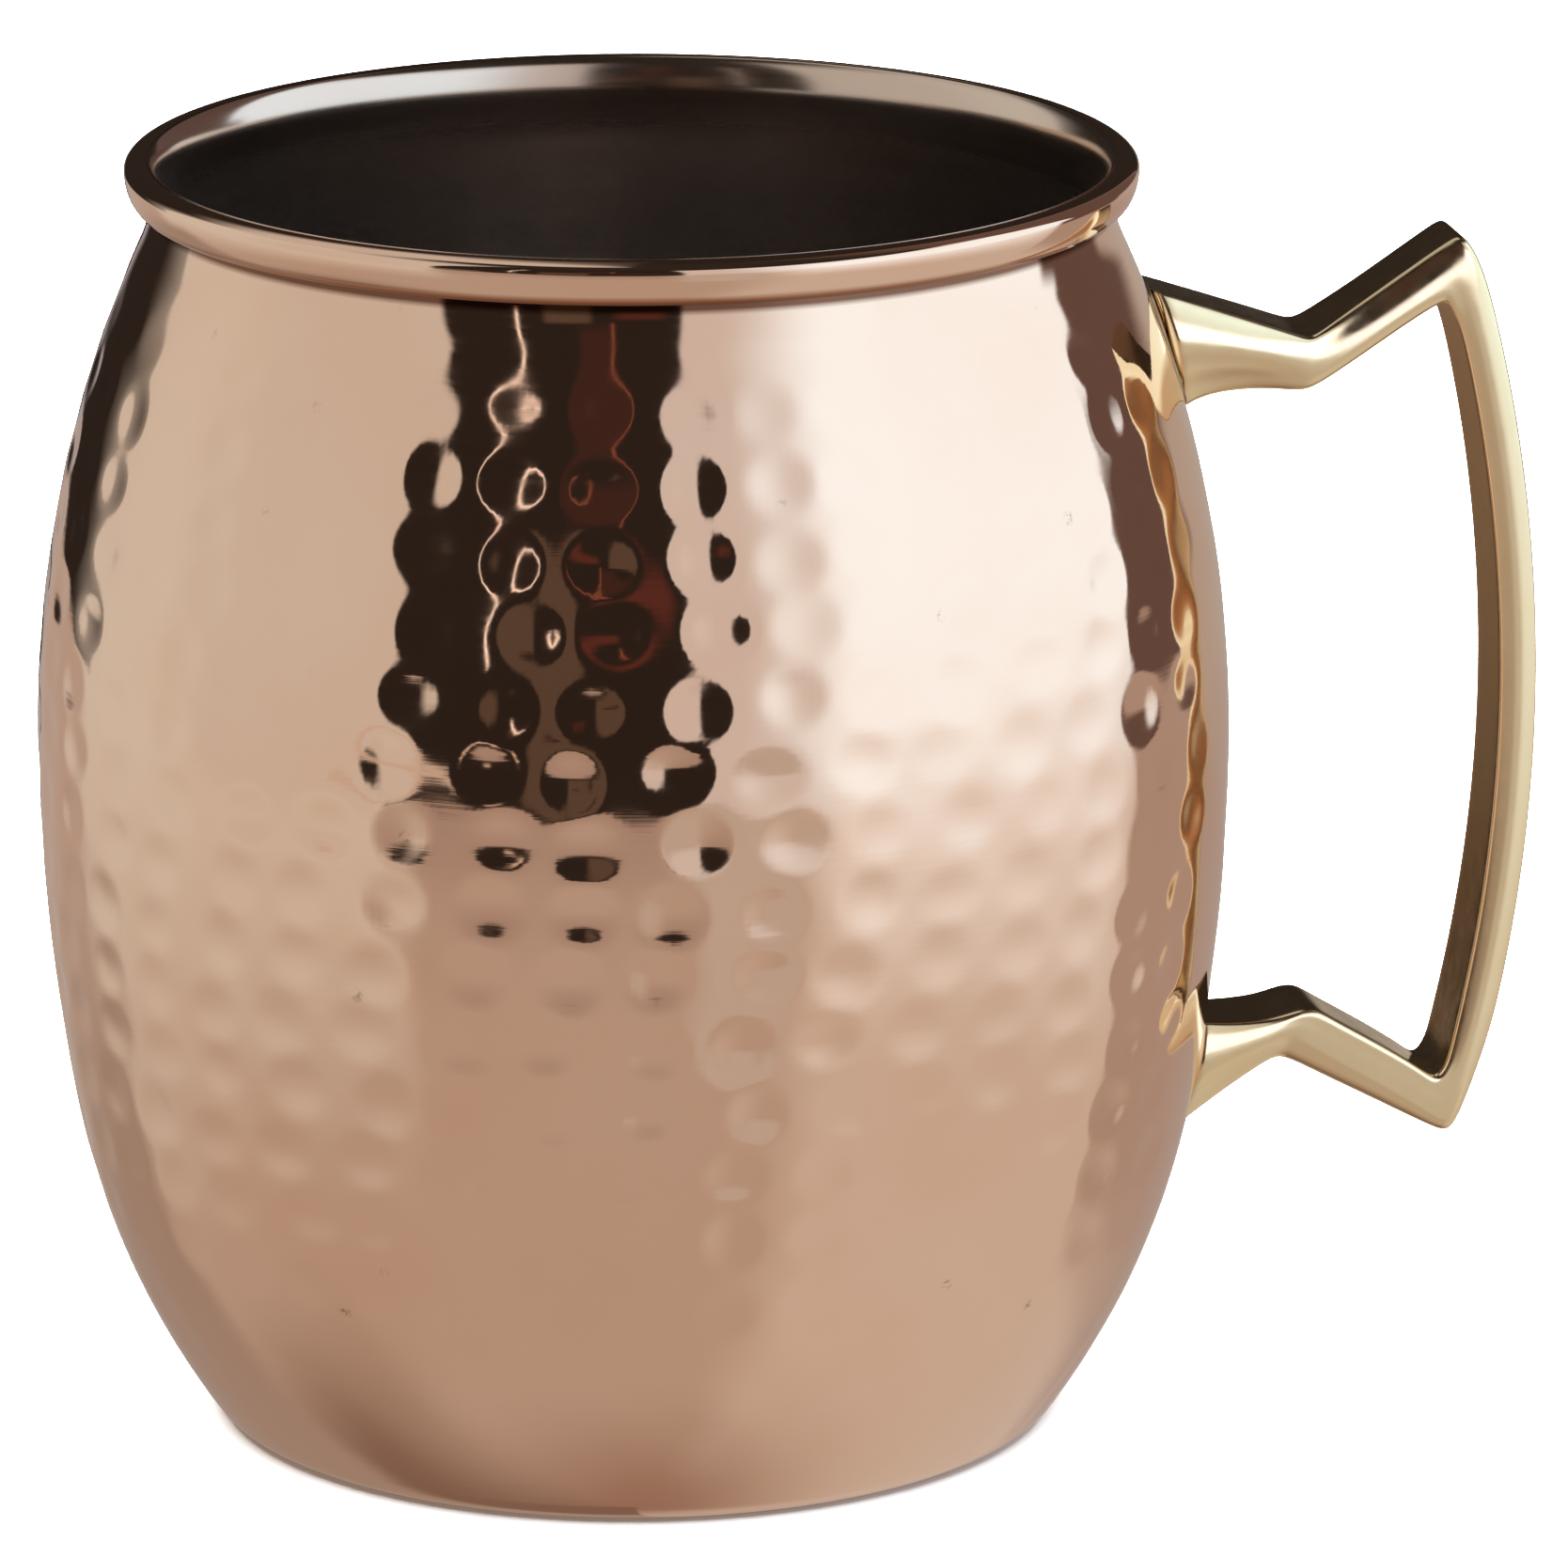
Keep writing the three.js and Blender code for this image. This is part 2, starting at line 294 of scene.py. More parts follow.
def dents():
    """Places of the hammer marks: height, angle, half width, half height and depth."""
    chance = random.Random(DENT_SEED)
    marks = []
    rows = round((DENT_HIGHEST - DENT_LOWEST) / DENT_ROW_PITCH)
    phase = 0.0
    for row in range(rows + 1):
        height = DENT_LOWEST + (DENT_HIGHEST - DENT_LOWEST) * row / rows
        phase += chance.uniform(-ROW_SHIFT, ROW_SHIFT)
        fade = EDGE_ROW_SHARE if row in (0, rows) else 1.0
        for column in range(DENT_COLUMNS):
            turn = (column + phase + chance.uniform(-COLUMN_JITTER, COLUMN_JITTER)) / DENT_COLUMNS
            angle = 2 * math.pi * (turn % 1.0)
            marks.append(
                (
                    height + chance.uniform(-HEIGHT_JITTER, HEIGHT_JITTER),
                    angle,
                    DENT_HALF_WIDTH * chance.uniform(*WIDTH_RANGE),
                    DENT_HALF_HEIGHT * chance.uniform(*HEIGHT_RANGE),
                    DENT_DEPTH * fade * chance.uniform(*DEPTH_RANGE) * share_at(angle),
                )
            )
    return marks


def waves():
    """Shallow waves round the wall: waves round it, radians per millimetre of height, start, height."""
    chance = random.Random(WAVE_SEED)
    made = []
    for _ in range(WAVE_COUNT):
        made.append(
            (
                chance.randint(*WAVE_TURNS),
                chance.uniform(*WAVE_RATES),
                chance.uniform(0.0, 2 * math.pi),
                WAVE_HEIGHT * chance.uniform(*WAVE_SHARES),
            )
        )
    return made


MARKS = dents()
WAVES = waves()


def hammer(heights, radii, angles):
    """How far the wall is pressed in at each row height and column angle."""
    pressed = np.zeros((len(heights), len(angles)))
    heights = np.array(heights)
    radii = np.array(radii)
    for height, angle, half_width, half_height, depth in MARKS:
        rows = np.nonzero(np.abs(heights - height) < half_height)[0]
        if len(rows) == 0:
            continue
        offset = (angles - angle + math.pi) % (2 * math.pi) - math.pi
        columns = np.nonzero(np.abs(offset) * BELLY_RADIUS < half_width * DENT_REACH)[0]
        across = offset[columns][None, :] * radii[rows][:, None] / half_width
        up = ((heights[rows] - height) / half_height)[:, None]
        reach = np.clip(1.0 - across ** 2 - up ** 2, 0.0, 1.0)
        pressed[np.ix_(rows, columns)] += depth * reach ** DENT_SHARPNESS
    for count, rate, start, height in WAVES:
        pressed += height * np.sin(count * angles[None, :] + rate * heights[:, None] + start)
    fade_in = np.clip((heights - HAMMERED_FROM) / FADE_IN, 0.0, 1.0)
    fade_out = np.clip((UPPER_END - heights) / FADE_OUT, 0.0, 1.0)
    return pressed * (fade_in * fade_out)[:, None]


def new_mesh(name, vertices, faces, smooth=True):
    mesh = bpy.data.meshes.new(name)
    mesh.from_pydata([tuple(v) for v in np.asarray(vertices) * MM], [], faces)
    mesh.validate()
    mesh.update()
    if smooth:
        mesh.shade_smooth()
    piece = bpy.data.objects.new(name, mesh)
    bpy.context.scene.collection.objects.link(piece)
    return piece


def revolve(name, profile, columns, pressed_rows, share):
    """Turns a closed profile that starts and ends on the axis. pressed_rows are the hammered rows,
    which take a share of the hammer marks' depth."""
    line = np.array(profile)
    normals = outline_normals(profile)
    angles = np.arange(columns) * 2 * math.pi / columns
    first, last = pressed_rows
    press = np.zeros((len(line), columns))
    press[first:last] = share * hammer(line[first:last, 1], line[first:last, 0], angles)
    inwards = -np.abs(normals[:, 0:1])
    radius = line[:, 0:1] + press * inwards
    lift = np.sign(normals[:, 0:1]) * normals[:, 1:2]
    height = line[:, 1:2] - press * lift
    x = radius * np.cos(angles)
    y = radius * np.sin(angles)
    z = np.broadcast_to(height, x.shape)
    rings = np.stack([x, y, z], axis=2)[1:-1]
    count = rings.shape[0]
    vertices = rings.reshape(-1, 3)
    faces = []
    for row in range(count - 1):
        low = row * columns
        high = low + columns
        for column in range(columns):
            after = (column + 1) % columns
            faces.append((low + column, low + after, high + after, high + column))
    start = len(vertices)
    end = start + 1
    vertices = np.vstack([vertices, [0, 0, line[0, 1]], [0, 0, line[-1, 1]]])
    top = (count - 1) * columns
    for column in range(columns):
        after = (column + 1) % columns
        faces.append((start, after, column))
        faces.append((end, top + column, top + after))
    return new_mesh(name, vertices, faces)


def build_cup():
    outside = wall_points(0.0, CUP_FINE)
    curl = neck_points(0.0, NECK_STEPS) + bead_points(0.0, math.pi, BEAD_LIP_ANGLE, CURL_STEPS)
    bead = bead_points(SHEET, BEAD_LIP_ANGLE, math.pi, BEAD_STEPS)
    hidden = neck_points(SHEET, HIDDEN_NECK_STEPS)[::-1] + wall_points(SHEET, INSIDE_COARSE)[::-1]
    profile = outside + curl + bead + hidden
    return revolve("hammered_copper_cup", profile, CUP_COLUMNS, (0, len(outside)), 1.0)


def build_plating():
    """The plated inside. It takes only a share of the hammer marks, which show faintly through it."""
    back_depth = SHEET + PLATING_GAP
    back = wall_points(back_depth, INSIDE_COARSE) + neck_points(back_depth, HIDDEN_NECK_STEPS)
    depth = SHEET + PLATING_GAP + PLATING
    edge = bead_points(back_depth, math.pi, PLATING_TOP_ANGLE, PLATING_EDGE_STEPS)
    front_edge = bead_points(depth, PLATING_TOP_ANGLE, math.pi, PLATING_EDGE_STEPS)
    front = neck_points(depth, NECK_STEPS)[::-1]
    wall = wall_points(depth, PLATING_FINE)[::-1]
    profile = back + edge + front_edge + front + wall
    rows = (len(profile) - len(wall), len(profile))
    return revolve("nickel_plated_inside", profile, PLATING_COLUMNS, rows, PLATING_SHARE)


def grip_x(inset, height):
    rise = height - GRIP_MIDDLE
    return GRIP_OUTER_X - GRIP_ARC + math.sqrt((GRIP_ARC - inset) ** 2 - rise ** 2)


def upper_arm_ribs():
    return [
        ((39.9, 87.75), (42.6, 77.6), CRISP, 1.7, 1.1, 0.0),
        ((41.6, 87.2), (43.6, 78.3), CRISP, 1.7, 1.05, 0.0),
        ((44.6, 86.2), (45.3, 79.0), CRISP, 1.6, 0.9, 0.0),
        ((48.6, 84.85), (48.4, 79.3), CRISP, 1.4, 0.7, 0.0),
        ((51.6, 83.8), (51.0, 79.15), CRISP, 1.1, 0.4, 0.0),
        ((52.75, 83.4), (52.4, 79.0), CRISP, 1.0, 0.25, 0.0),
        ((53.9, 84.05), (53.8, 79.7), CRISP, SOFT, FLAT, 0.4),
        ((57.4, 86.3), (58.1, 82.5), CRISP, SOFT, FLAT, 0.75),
        ((61.2, 88.85), (61.3, 84.6), CRISP, SOFT, FLAT, 0.75),
        ((63.7, 90.5), (63.0, 85.6), 0.4, 0.7, FLAT, 0.7),
        ((64.75, 91.05), (63.6, 85.85), 0.5, 0.5, FLAT, 0.4),
        ((65.6, 90.2), (64.0, 85.0), 0.6, 0.3, 0.2, 0.0),
    ]


def grip_ribs():
    ribs = []
    for step in range(GRIP_STEPS + 1):
        share = step / GRIP_STEPS
        outer = GRIP_OUTER_ENDS[0] + (GRIP_OUTER_ENDS[1] - GRIP_OUTER_ENDS[0]) * share
        inner = GRIP_INNER_ENDS[0] + (GRIP_INNER_ENDS[1] - GRIP_INNER_ENDS[0]) * share
        outer_point = (grip_x(GRIP_OUTER_INSET, outer), outer)
        inner_point = (grip_x(GRIP_INNER_INSET, inner), inner)
        ribs.append((outer_point, inner_point, 0.45, 0.3, FULL, 0.0))
    return ribs


def lower_arm_ribs():
    return [
        ((66.5, 22.2), (64.4, 24.4), 0.6, 0.3, 0.2, 0.0),
        ((65.2, 18.95), (63.75, 23.35), 0.7, 0.4, FLAT, 0.0),
        ((64.4, 18.45), (63.1, 23.3), 0.8, 0.4, FLAT, 0.0),
        ((63.0, 19.05), (61.9, 24.3), 1.1, CRISP, FLAT, 0.0),
        ((59.0, 21.15), (58.6, 26.4), 1.5, CRISP, FLAT, 0.0),
        ((55.0, 23.25), (55.2, 28.4), 1.6, CRISP, FLAT, 0.0),
        ((52.2, 24.8), (53.7, 29.4), 1.6, CRISP, 0.12, 0.0),
        ((50.9, 25.3), (52.4, 29.3), 1.6, CRISP, 0.2, 0.0),
        ((49.6, 24.6), (50.4, 28.65), 1.6, CRISP, 0.3, 0.0),
        ((46.6, 22.45), (47.3, 28.5), 1.9, CRISP, 0.6, 0.0),
        ((44.0, 20.5), (45.2, 28.6), 2.0, CRISP, 0.8, 0.0),
        ((42.55, 19.4), (44.05, 28.7), 2.0, CRISP, 0.85, 0.0),
    ]


def handle_ribs():
    """Pairs of points across the strap, from the upper foot to the lower foot: outer side, inner side,
    how far each side's edges are rounded over, how far the side faces bulge, and how far they lean in
    at the outer side."""
    return upper_arm_ribs() + grip_ribs() + lower_arm_ribs()


def strap_section(thickness, outer_round, inner_round, crown, lean):
    """Points round the strap's section: distance from the outer side, and place across the width.
    Its two side faces bulge by the crown at mid thickness and lean in at the outer side."""
    half = STRAP_HALF_WIDTH
    outer_round = min(outer_round, MOST_ROUND * thickness)
    inner_round = min(inner_round, MOST_ROUND * thickness)
    face = thickness - outer_round - inner_round
    outer_edge = half - crown * (EDGE_BACK + 0.4 * outer_round)
    inner_edge = half - crown * (EDGE_BACK + 0.4 * inner_round)
    side = [
        (0.0, 0.4 * half),
        (0.0, half - outer_round - EDGE_BACK - lean),
        (0.12 * outer_round, outer_edge - EDGE_BACK * outer_round - lean),
        (outer_round, outer_edge + 0.1 - lean),
        (outer_round + 0.2 * face, half + 0.15 * crown - 0.68 * lean),
        (outer_round + 0.5 * face, half + 0.5 * crown - 0.19 * lean),
        (outer_round + 0.8 * face, half + 0.15 * crown),
        (thickness - inner_round, inner_edge + 0.1),
        (thickness - 0.12 * inner_round, inner_edge - EDGE_BACK * inner_round),
        (thickness, half - inner_round - EDGE_BACK),
        (thickness, 0.4 * half),
    ]
    mirrored = [(depth, -across) for depth, across in reversed(side)]
    return side + mirrored


def build_handle():
    rows = []
    for outer, inner, outer_round, inner_round, crown, lean in handle_ribs():
        outer = Vector((outer[0], 0.0, outer[1]))
        inner = Vector((inner[0], 0.0, inner[1]))
        across = inner - outer
        thickness = across.length
        direction = across.normalized()
        row = []
        for depth, side in strap_section(thickness, outer_round, inner_round, crown, lean):
            point = outer + direction * depth
            row.append((point.x, side, point.z))
        rows.append(row)
    loop = len(rows[0])
    vertices = [point for row in rows for point in row]
    faces = []
    for row in range(len(rows) - 1):
        for index in range(loop):
            after = (index + 1) % loop
            low = row * loop
            faces.append((low + index, low + loop + index, low + loop + after, low + after))
    half = loop // 2
    last = (len(rows) - 1) * loop
    for index in range(half - 1):
        faces.append((index, index + 1, loop - 2 - index, loop - 1 - index))
        faces.append((last + loop - 1 - index, last + loop - 2 - index, last + index + 1, last + index))
    handle = new_mesh("cast_brass_handle", vertices, faces)
    refine = handle.modifiers.new("refine", "SUBSURF")
    refine.levels = 3
    refine.render_levels = 3
    return handle


def cup_radius(height):
    """The outside radius of the cup's wall at a height above the heel."""
    centre, radius = (UPPER_CENTRE, UPPER_ARC) if height > UPPER_CENTRE[1] else (LOWER_CENTRE, LOWER_ARC)
    if height < LOWER_CENTRE[1] - LOWER_ARC * math.sin(HEEL_TOP_ANGLE):
        centre, radius = HEEL_CENTRE, HEEL_ARC
    return centre[0] + math.sqrt(radius ** 2 - (height - centre[1]) ** 2)


def braze_path(bottom, top):
    """The outline of a foot, seen from its end, as Y and Z: a rectangle with round corners."""
    half = STRAP_HALF_WIDTH - BRAZE_INSET - BRAZE_CORNER
    low = bottom + BRAZE_CORNER
    high = top - BRAZE_CORNER
    corners = [
        (half, high, 0.0),
        (-half, high, math.pi / 2),
        (-half, low, math.pi),
        (half, low, 1.5 * math.pi),
    ]
    path = []
    for centre_y, centre_z, start in corners:
        end = start + math.pi / 2
        path += arc_points((centre_y, centre_z), BRAZE_CORNER, start, end, BRAZE_CORNER_STEPS)
    return path


def evenly_spaced(path):
    """A closed path with points put in, so that no two neighbours are far apart."""
    line = []
    for index, (y, z) in enumerate(path):
        next_y, next_z = path[(index + 1) % len(path)]
        pieces = max(1, round(math.hypot(next_y - y, next_z - z) / BRAZE_SPACING))
        for step in range(pieces):
            share = step / pieces
            line.append((y + (next_y - y) * share, z + (next_z - z) * share))
    return line


def build_braze(name, ends):
    """A bead of filler round a foot, lying on the cup."""
    line = evenly_spaced(braze_path(*ends))
    count = len(line)
    vertices = []
    for index, (y, z) in enumerate(line):
        before = line[index - 1]
        after = line[(index + 1) % count]
        along = Vector((0, after[0] - before[0], after[1] - before[1])).normalized()
        x = math.sqrt(cup_radius(z) ** 2 - y ** 2)
        out = Vector((x, y, 0)).normalized()
        side = along.cross(out).normalized()
        for step in range(BRAZE_SIDES):
            angle = 2 * math.pi * step / BRAZE_SIDES
            ring = out * math.cos(angle) + side * math.sin(angle)
            vertices.append(tuple(Vector((x, y, z)) + ring * BRAZE_BEAD))
    faces = []
    for index in range(count):
        low = index * BRAZE_SIDES
        high = ((index + 1) % count) * BRAZE_SIDES
        for step in range(BRAZE_SIDES):
            after = (step + 1) % BRAZE_SIDES
            faces.append((low + step, high + step, high + after, low + after))
    return new_mesh(name, vertices, faces)


def material(name, metallic=0.0):
    made = bpy.data.materials.new(name)
    made.use_nodes = True
    tree = made.node_tree
    shader = tree.nodes["Principled BSDF"]
    shader.inputs["Metallic"].default_value = metallic
    return made, tree.nodes, tree.links, shader


def noise(nodes, links, stretch, scale, detail, roughness=0.5):
    """A noise texture in object space, stretched by a scale along X, Y and Z."""
    place = nodes.new("ShaderNodeTexCoord")
    mapping = nodes.new("ShaderNodeMapping")
    mapping.inputs["Scale"].default_value = stretch
    texture = nodes.new("ShaderNodeTexNoise")
    texture.inputs["Scale"].default_value = scale
    texture.inputs["Detail"].default_value = detail
    texture.inputs["Roughness"].default_value = roughness
    links.new(place.outputs["Object"], mapping.inputs["Vector"])
    links.new(mapping.outputs["Vector"], texture.inputs["Vector"])
    return texture.outputs["Fac"]


def ranged(nodes, links, value, low, high, to_low, to_high):
    """Turns the range from low to high into another one, and holds the value inside it."""
    node = nodes.new("ShaderNodeMapRange")
    node.inputs["From Min"].default_value = low
    node.inputs["From Max"].default_value = high
    node.inputs["To Min"].default_value = to_low
    node.inputs["To Max"].default_value = to_high
    links.new(value, node.inputs["Value"])
    return node.outputs["Result"]


def mixed(nodes, links, factor, first, second):
    """Mixes two colours by a factor. Each colour is three numbers or a socket."""
    node = nodes.new("ShaderNodeMix")
    node.data_type = "RGBA"
    for side, colour in (("A", first), ("B", second)):
        if isinstance(colour, tuple):
            node.inputs[side].default_value = (*colour, 1)
        else:
            links.new(colour, node.inputs[side])
    links.new(factor, node.inputs["Factor"])
    return node.outputs["Result"]


def clouded(nodes, links, scale, detail, colours):
    """A pair of colours in a cloudy pattern."""
    cloud = noise(nodes, links, (1, 1, 1), scale, detail)
    return mixed(nodes, links, ranged(nodes, links, cloud, 0.35, 0.7, 0, 1), *colours)


def bumped(nodes, links, height, shader, strength):
    node = nodes.new("ShaderNodeBump")
    node.inputs["Strength"].default_value = strength
    node.inputs["Distance"].default_value = BUMP_DISTANCE
    links.new(height, node.inputs["Height"])
    links.new(node.outputs["Normal"], shader.inputs["Normal"])


def height_above(nodes, links, low, high):
    """A factor that rises from 0 to 1 between two heights."""
    place = nodes.new("ShaderNodeTexCoord")
    split = nodes.new("ShaderNodeSeparateXYZ")
    links.new(place.outputs["Object"], split.inputs[0])
    return ranged(nodes, links, split.outputs["Z"], low * MM, high * MM, 0, 1)


def multiplied(nodes, links, first, second):
    node = nodes.new("ShaderNodeMath")
    node.operation = "MULTIPLY"
    links.new(first, node.inputs[0])
    links.new(second, node.inputs[1])
    return node.outputs[0]


def specks(nodes, links, scale, size):
    """Sparse small specks in object space, where fine noise breaks up the cells' middles."""
    place = nodes.new("ShaderNodeTexCoord")
    texture = nodes.new("ShaderNodeTexVoronoi")
    texture.inputs["Scale"].default_value = scale
    links.new(place.outputs["Object"], texture.inputs["Vector"])
    middle = ranged(nodes, links, texture.outputs["Distance"], 0.0, size, 1, 0)
    grain = noise(nodes, links, (1, 1, 1), 2600, 2)
    return multiplied(nodes, links, middle, ranged(nodes, links, grain, 0.45, 0.6, 0, 1))


def copper_material():
    """Polished copper with faint turning lines, small pits and painted shade in a dark band under the
    rolled rim.
    """
    made, nodes, links, shader = material("polished_copper", metallic=1.0)
    colour = clouded(nodes, links, 60, 4, COPPER)
    colour = mixed(nodes, links, specks(nodes, links, 110, 0.075), colour, COPPER_PIT)
    # Painted shade: the colour darkens in a band under the rolled rim.
    above = height_above(nodes, links, *UNDER_RIM_SHADE_STARTS)
    below = height_above(nodes, links, *UNDER_RIM_SHADE_ENDS)
    colour = mixed(nodes, links, multiplied(nodes, links, above, below), colour, UNDER_RIM_SHADE)
    links.new(colour, shader.inputs["Base Color"])
    lines = noise(nodes, links, (12, 12, 900), 1.6, 5, 0.6)
    links.new(ranged(nodes, links, lines, 0.3, 0.75, 0.03, 0.075), shader.inputs["Roughness"])
    bumped(nodes, links, lines, shader, 0.04)
    return made


def nickel_material():
    """Nickel that is bright and polished at the rim, and duller and rougher down the inside."""
    made, nodes, links, shader = material("bright_nickel_plate", metallic=1.0)
    bright = clouded(nodes, links, 45, 3, BRIGHT_NICKEL)
    dull = clouded(nodes, links, 45, 3, DULL_NICKEL)
    colour = mixed(nodes, links, height_above(nodes, links, *BRIGHT_FROM), dull, bright)
    links.new(colour, shader.inputs["Base Color"])
    lines = noise(nodes, links, (12, 12, 700), 1.6, 5, 0.6)
    roughness = nodes.new("ShaderNodeMix")
    links.new(height_above(nodes, links, *POLISHED_FROM), roughness.inputs["Factor"])
    links.new(ranged(nodes, links, lines, 0.3, 0.75, 0.3, 0.42), roughness.inputs["A"])
    links.new(ranged(nodes, links, lines, 0.3, 0.75, 0.12, 0.2), roughness.inputs["B"])
    links.new(roughness.outputs["Result"], shader.inputs["Roughness"])
    bumped(nodes, links, lines, shader, 0.06)
    return made


def brass_material():
    """Softly polished brass with a fine cast grain."""
    made, nodes, links, shader = material("cast_brass", metallic=1.0)
    links.new(clouded(nodes, links, 90, 4, BRASS), shader.inputs["Base Color"])
    grain = noise(nodes, links, (1, 1, 1), 700, 4, 0.6)
    links.new(ranged(nodes, links, grain, 0.3, 0.7, 0.13, 0.21), shader.inputs["Roughness"])
    bumped(nodes, links, grain, shader, 0.02)
    return made


def filler_material():
    made, nodes, links, shader = material("braze_filler", metallic=1.0)
    shader.inputs["Roughness"].default_value = 0.42
    links.new(clouded(nodes, links, 400, 3, FILLER), shader.inputs["Base Color"])
    return made


def finish_piece(piece, made, slot, *nodes):
    piece.data.materials.append(made)
    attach(piece, "root")
    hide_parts(*nodes)


def build_pieces():
    """Builds every piece and gives back the handle."""
    finish_piece(build_cup(), copper_material(), "copper", "mug_body")
    finish_piece(build_plating(), nickel_material(), "nickel_plate", "nickel_lining")
    handle = build_handle()
    finish_piece(handle, brass_material(), "cast_brass", "handle")
    filler = filler_material()
    finish_piece(build_braze("upper_braze_bead", UPPER_BRAZE), filler, "braze_filler", "upper_braze")
    finish_piece(build_braze("lower_braze_bead", LOWER_BRAZE), filler, "braze_filler", "lower_braze")
    return handle


def flat_stage(name, corners, height, made):
    """A flat rectangle that isn't part of the mug, between two corners given in metres."""
    (left, front), (right, back) = corners
    places = [(left, front), (right, front), (right, back), (left, back)]
    vertices = [(x / MM, y / MM, height) for x, y in places]
    piece = new_mesh(name, vertices, [(0, 1, 2, 3)], smooth=False)
    piece.data.materials.append(made)
    return piece


def build_floor():
    """The pale floor. Reflections show the darker table of the surroundings in its place."""
    made, _, _, shader = material("pale_floor")
    shader.inputs["Base Color"].default_value = (*FLOOR_COLOUR, 1)
    shader.inputs["Roughness"].default_value = 0.9
    shader.inputs["Specular IOR Level"].default_value = 0.0
    half = FLOOR_SIZE / 2
    floor = flat_stage("pale_floor", ((-half, -half), (half, half)), FLOOR_HEIGHT, made)
    floor.visible_glossy = False


# Surroundings that only reflections show, laid over one another in this order. Azimuth is counted in
# degrees from the camera's side of the mug, to the camera's right. Each patch: azimuth from and to, how
# soft its sides are, elevation from and to, how soft those are, colour.
PATCHES = [
    ("table", (-200, 200), 1, (-100, 100), 1, (0.48, 0.4, 0.35)),
    ("table_below", (-200, 200), 1, (-120, -76), 16, (0.31, 0.2, 0.16)),
    ("table_left_low", (-260, -88), 34, (-120, -48), 12, (0.22, 0.15, 0.12)),
    ("table_left", (-134, -44), 5, (-23, 20), 13, (0.65, 0.64, 0.6)),
    ("table_left_behind", (-220, -124), 6, (-60, -20), 5, (0.36, 0.29, 0.25)),
    ("table_right", (32, 170), 14, (-68, 20), 17, (0.6, 0.55, 0.51)),
    ("table_right_far", (120, 172), 6, (-30, 0), 8, (0.42, 0.34, 0.3)),
    ("table_centre", (-44, 10), 5, (-16, 10), 8, (0.39, 0.31, 0.275)),
    ("room", (-200, 200), 1, (-9.5, 100), 0.7, (0.025, 0.019, 0.016)),
    ("left_softbox", (-128, -44.5), 1.0, (-11.5, 66), 1.5, (0.62, 0.6, 0.57)),
    ("left_softbox_far", (-128, -96), 14, (-11.5, 66), 1.5, (0.66, 0.66, 0.63)),
    ("left_ledge", (-60, -33), 1.0, (-7.4, -5.8), 0.5, (0.6, 0.52, 0.46)),
    ("right_softbox", (12.3, 111), 0.7, (-11.5, 50), 1.5, (0.65, 0.64, 0.66)),
    ("right_softbox_foot", (12.3, 30), 4, (-26, -8), 2, (0.53, 0.49, 0.46)),
    ("table_right_near", (38, 110), 9, (-20, 20), 8, (0.83, 0.87, 0.92)),
    ("right_softbox_core", (35, 140), 15, (-8, 45), 8, (1.03, 1.28, 1.52)),
    ("right_edge", (112.5, 160), 1.5, (-30, 100), 8, (0.42, 0.34, 0.3)),
    ("right_dark", (112.5, 160), 1.5, (-9.5, 100), 1, (0.13, 0.085, 0.075)),
    ("right_softbox_top", (60, 117.5), 1.0, (6, 46), 5, (1.03, 1.26, 1.5)),
    ("slit", (-26.8, -26.2), 0.3, (5, 42), 1.0, (1.4, 1.25, 1.15)),
    ("slit_foot", (-27, -25), 0.6, (-7.6, -6.4), 0.5, (0.7, 0.55, 0.45)),
    ("camera_side", (-20, -9), 1.0, (-8, 17), 1.0, (0.1, 0.07, 0.052)),
    ("camera_side_dark", (-16, -12), 1.0, (-2, -1), 0.6, (0.03, 0.02, 0.016)),
    ("wood", (-12, -4), 1.5, (20, 40), 5, (0.05, 0.024, 0.02)),
    ("wood_edge", (-4.2, -3.6), 0.3, (17, 40), 1, (0.26, 0.09, 0.06)),
    ("wood_low", (-3, 8), 2.0, (9, 14), 2.0, (0.1, 0.032, 0.025)),
    ("ceiling", (-200, 200), 1, (60, 100), 12, (0.03, 0.024, 0.02)),
    ("left_behind_high", (-172, -108), 10, (38, 86), 8, (0.58, 0.55, 0.52)),
    ("right_behind", (142, 200), 3, (-14, -2), 3.0, (0.46, 0.4, 0.35)),
    ("left_behind", (-200, -164), 4, (-14, -4), 3.0, (0.36, 0.33, 0.34)),
]


# Glowing flat cards of painted shade that only reflections show: the table behind the mug as it would
# lie in the mug's shadow, brown and near black. Name, corners in metres, colour
CARDS = [
    ("shaded_table_behind", ((0.012, 0.125), (0.09, 0.7)), (0.2, 0.125, 0.08)),
    ("table_shade", ((-0.04, 0.125), (0.012, 0.7)), (0.03, 0.018, 0.01)),
]
CARD_HEIGHT = 2.0


